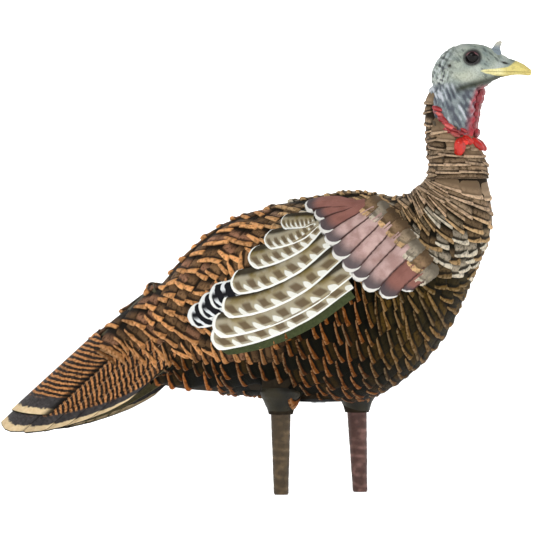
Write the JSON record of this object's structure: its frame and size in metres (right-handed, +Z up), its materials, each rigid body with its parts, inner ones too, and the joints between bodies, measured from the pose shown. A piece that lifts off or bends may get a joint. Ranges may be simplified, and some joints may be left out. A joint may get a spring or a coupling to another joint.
{
  "type": "turkey decoy",
  "caption": "Life-size hen turkey decoy with a hollow feathered body, folded wings, drooped tail fan, plug-in turning head, leg stubs and a swivelling socket for a ground stake.",
  "frame": {"origin": "centre of the stake tube's open mouth, under the belly between the legs", "axes": "+X towards the beak, +Y to the bird's left, +Z up along the stake"},
  "size_m": [0.6597, 0.236, 0.5586],
  "materials": {
    "body_plastic": "painted hard shell, dark bronze and brown",
    "wing_plastic": "painted hard shell, dusty tan",
    "tail_plastic": "painted hard shell, barred brown",
    "head_plastic": "painted flexible shell, blue grey skin",
    "leg_plastic": "moulded, dull brown",
    "eye_plastic": "glossy black",
    "bearing_plastic": "self-coloured nylon",
    "tube_metal": "drawn tube",
    "steel": "zinc plated",
    "brass": "turned",
    "ring_rubber": "matt black"
  },
  "bodies": {
    "mast": {"stake_tube": "tube_metal", "stop_pin": "steel", "retaining_clip": "steel", "thrust_washer": "bearing_plastic"},
    "torso": {"body_shell_right": "body_plastic", "body_shell_left": "body_plastic", "belly_flange": "bearing_plastic", "flange_screws": "steel", "back_cup": "bearing_plastic", "wing_right": "wing_plastic", "wing_left": "wing_plastic", "wing_pegs": "bearing_plastic", "tail_fan": "tail_plastic", "tail_pegs": "bearing_plastic", "leg_right": "leg_plastic", "leg_left": "leg_plastic", "leg_studs": "steel", "leg_inserts": "brass", "neck_collar": "bearing_plastic", "collar_screws": "steel"},
    "neck_ring": {"grip_ring": "ring_rubber"},
    "head": {"head_shell": "head_plastic", "neck_spigot": "bearing_plastic", "spigot_screws": "steel", "eye_right": "eye_plastic", "eye_left": "eye_plastic"}
  },
  "joints": [
    {"name": "stake_swivel", "type": "hinge", "parent": "mast", "child": "torso", "pos_m": [0, 0, 0], "axis": [0, 0, 1], "range_deg": [-30, 30]},
    {"name": "head_turn", "type": "hinge", "parent": "torso", "child": "neck_ring", "pos_m": [0.1755, 0, 0.284], "axis": [0, 0, 1], "range_deg": [-60, 60]},
    {"name": "head_lift", "type": "slide", "parent": "neck_ring", "child": "head", "axis": [0, 0, 1], "range_m": [0, 0.06]}
  ]
}
